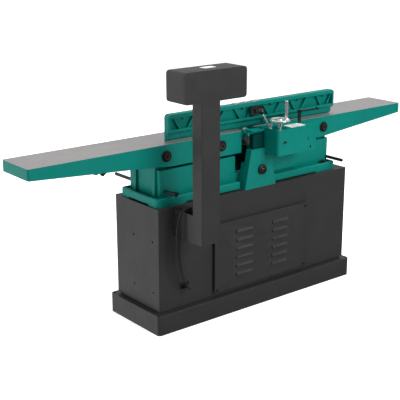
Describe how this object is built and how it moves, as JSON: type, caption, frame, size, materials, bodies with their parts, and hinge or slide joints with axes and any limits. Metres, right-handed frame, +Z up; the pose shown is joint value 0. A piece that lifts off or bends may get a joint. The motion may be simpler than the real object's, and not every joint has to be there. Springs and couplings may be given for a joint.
{
  "type": "jointer",
  "caption": "Parallelogram-bed jointer (surface planer) on a steel cabinet, with ribbed tilting fence, helical cutterhead, belt drive and a column-mounted control box.",
  "frame": {"origin": "on the floor, under the cutterhead axis and the middle of the stand", "axes": "+X towards the infeed end, -Y towards the operator, +Y towards the fence carriage and control column, +Z up"},
  "size_m": [2.11, 0.615, 1.133],
  "materials": {
    "green_paint": "gloss",
    "black_powder": "satin powder coat",
    "ground_iron": "ground",
    "black_plastic": "gloss",
    "chrome": "polished",
    "steel": "brushed",
    "oxide_steel": "black oxide",
    "carbide": "ground carbide",
    "rubber": "matt",
    "red_plastic": "gloss",
    "start_plastic": "gloss",
    "zinc": "zinc plated",
    "aluminium": "turned"
  },
  "bodies": {
    "stand": {"plinth": "black_powder", "cabinet": "black_powder", "access_panel": "black_powder", "dust_port": "black_powder", "sheet_screws": "oxide_steel", "chip_chute": "zinc", "base_casting": "green_paint", "frame_bolts": "oxide_steel", "bearing_blocks": "ground_iron", "head_bearings": "steel", "drive_belt": "rubber", "motor": "black_powder", "motor_mount": "black_powder", "belt_guard": "green_paint", "fence_bracket": "green_paint", "fence_rack": "steel", "guard_post": "oxide_steel", "column": "black_powder", "column_bracket": "black_powder", "control_box": "black_powder", "control_box_cover": "black_powder", "cable_entry_plate": "oxide_steel", "motor_lead": "rubber", "supply_lead": "rubber"},
    "infeed_bar": {"lift_bar_infeed": "oxide_steel"},
    "outfeed_bar": {"lift_bar_outfeed": "oxide_steel"},
    "infeed_outer_crank": {"infeed_outer_shaft": "steel", "infeed_lever": "oxide_steel", "infeed_lever_knob": "black_plastic"},
    "infeed_inner_crank": {"infeed_inner_shaft": "steel"},
    "infeed_bed": {"infeed_table": "green_paint", "infeed_shaft_caps": "oxide_steel"},
    "outfeed_outer_crank": {"outfeed_outer_shaft": "steel", "outfeed_lever": "oxide_steel", "outfeed_lever_knob": "black_plastic"},
    "outfeed_inner_crank": {"outfeed_inner_shaft": "steel"},
    "outfeed_bed": {"outfeed_table": "green_paint", "outfeed_shaft_caps": "oxide_steel"},
    "infeed_lock": {"infeed_table_lock": "oxide_steel"},
    "outfeed_lock": {"outfeed_table_lock": "oxide_steel"},
    "cutter": {"cutterhead": "steel", "cutter_inserts": "carbide", "cutterhead_pulley": "aluminium"},
    "motor_rotor": {"motor_shaft": "steel", "motor_pulley": "aluminium"},
    "guard_knob": {"belt_guard_knob": "black_plastic"},
    "carriage": {"fence_carriage": "ground_iron", "rear_cutter_guard": "black_powder"},
    "wheel": {"pinion_spindle": "chrome", "fence_handwheel": "chrome"},
    "wheel_grip": {"handwheel_grip": "chrome"},
    "fence_body": {"fence": "green_paint", "tilt_lock_block": "oxide_steel"},
    "tilt_clamp": {"tilt_lever": "chrome", "tilt_lever_knob": "black_plastic"},
    "slide_clamp": {"slide_lock_lever": "oxide_steel"},
    "swing_guard": {"cutter_guard": "green_paint"},
    "start": {"start_button": "start_plastic"},
    "stop": {"stop_button": "red_plastic"}
  },
  "joints": [
    {"name": "infeed_bar_slide", "type": "slide", "parent": "stand", "child": "infeed_bar", "axis": [0, -1, 0], "range_m": [-0.02, 0.07]},
    {"name": "outfeed_bar_slide", "type": "slide", "parent": "stand", "child": "outfeed_bar", "axis": [0, -1, 0], "range_m": [0, 0.09]},
    {"name": "infeed_outer_turn", "type": "hinge", "parent": "stand", "child": "infeed_outer_crank", "pos_m": [0.485, 0, 0.751], "axis": [0, 1, 0], "range_deg": [-60, 2]},
    {"name": "infeed_bed_link", "type": "hinge", "parent": "infeed_outer_crank", "child": "infeed_bed", "pos_m": [0.473, 0, 0.751], "axis": [0, 1, 0], "range_deg": [-5, 63]},
    {"name": "infeed_inner_turn", "type": "hinge", "parent": "stand", "child": "infeed_inner_crank", "pos_m": [0.188, 0, 0.751], "axis": [0, 1, 0], "range_deg": [-63, 5]},
    {"name": "outfeed_outer_turn", "type": "hinge", "parent": "stand", "child": "outfeed_outer_crank", "pos_m": [-0.462, 0, 0.751], "axis": [0, -1, 0], "range_deg": [-30, 2]},
    {"name": "outfeed_bed_link", "type": "hinge", "parent": "outfeed_outer_crank", "child": "outfeed_bed", "pos_m": [-0.45, 0, 0.751], "axis": [0, -1, 0], "range_deg": [-5, 33]},
    {"name": "outfeed_inner_turn", "type": "hinge", "parent": "stand", "child": "outfeed_inner_crank", "pos_m": [-0.165, 0, 0.751], "axis": [0, -1, 0], "range_deg": [-33, 5]},
    {"name": "infeed_lock_turn", "type": "hinge", "parent": "stand", "child": "infeed_lock", "pos_m": [0.32, -0.15, 0.65], "axis": [0, 1, 0], "range_deg": [-45, 45]},
    {"name": "outfeed_lock_turn", "type": "hinge", "parent": "stand", "child": "outfeed_lock", "pos_m": [-0.3, -0.15, 0.65], "axis": [0, 1, 0], "range_deg": [-45, 45]},
    {"name": "cutterhead_spin", "type": "hinge", "parent": "stand", "child": "cutter", "pos_m": [0, 0, 0.76], "axis": [0, 1, 0], "continuous": true},
    {"name": "motor_spin", "type": "hinge", "parent": "stand", "child": "motor_rotor", "pos_m": [0, 0, 0.235], "axis": [0, 1, 0], "continuous": true},
    {"name": "guard_knob_turn", "type": "hinge", "parent": "stand", "child": "guard_knob", "pos_m": [-0.01, 0.157, 0.628], "axis": [0, 1, 0], "continuous": true},
    {"name": "fence_slide", "type": "slide", "parent": "stand", "child": "carriage", "axis": [0, -1, 0], "range_m": [0, 0.08]},
    {"name": "handwheel_turn", "type": "hinge", "parent": "carriage", "child": "wheel", "pos_m": [-0.07, 0.204, 0.848], "axis": [0, 0, 1], "range_deg": [-10, 580]},
    {"name": "grip_spin", "type": "hinge", "parent": "wheel", "child": "wheel_grip", "pos_m": [-0.108, 0.204, 0.88], "axis": [0, 0, 1], "continuous": true},
    {"name": "fence_tilt", "type": "hinge", "parent": "carriage", "child": "fence_body", "pos_m": [0, 0.06, 0.801], "axis": [-1, 0, 0], "range_deg": [0, 45]},
    {"name": "tilt_lever_turn", "type": "hinge", "parent": "carriage", "child": "tilt_clamp", "pos_m": [-0.044, 0.17, 0.82], "axis": [0, 0, 1], "range_deg": [-30, 8]},
    {"name": "slide_lever_turn", "type": "hinge", "parent": "carriage", "child": "slide_clamp", "pos_m": [-0.214, 0.178, 0.83], "axis": [0, 0, 1], "range_deg": [-60, 0]},
    {"name": "swing_guard_turn", "type": "hinge", "parent": "stand", "child": "swing_guard", "pos_m": [0.095, -0.122, 0.81], "axis": [0, 0, 1], "range_deg": [0, 50]},
    {"name": "start_press", "type": "slide", "parent": "stand", "child": "start", "axis": [0, 1, 0], "range_m": [0, 0.005], "stiffness_N_per_m": 400},
    {"name": "stop_press", "type": "slide", "parent": "stand", "child": "stop", "axis": [0, 1, 0], "range_m": [0, 0.006], "stiffness_N_per_m": 400}
  ],
  "couplings": [
    {"joint": "infeed_bed_link", "follows": "infeed_outer_turn", "ratio": -1},
    {"joint": "infeed_inner_turn", "follows": "infeed_outer_turn", "ratio": 1},
    {"joint": "outfeed_bed_link", "follows": "outfeed_outer_turn", "ratio": -1},
    {"joint": "outfeed_inner_turn", "follows": "outfeed_outer_turn", "ratio": 1},
    {"joint": "motor_spin", "follows": "cutterhead_spin", "ratio": 0.45455},
    {"joint": "handwheel_turn", "follows": "fence_slide", "rad_per_m": 125},
    {"joint": "swing_guard_turn", "follows": "fence_slide", "rad_per_m": 10}
  ]
}
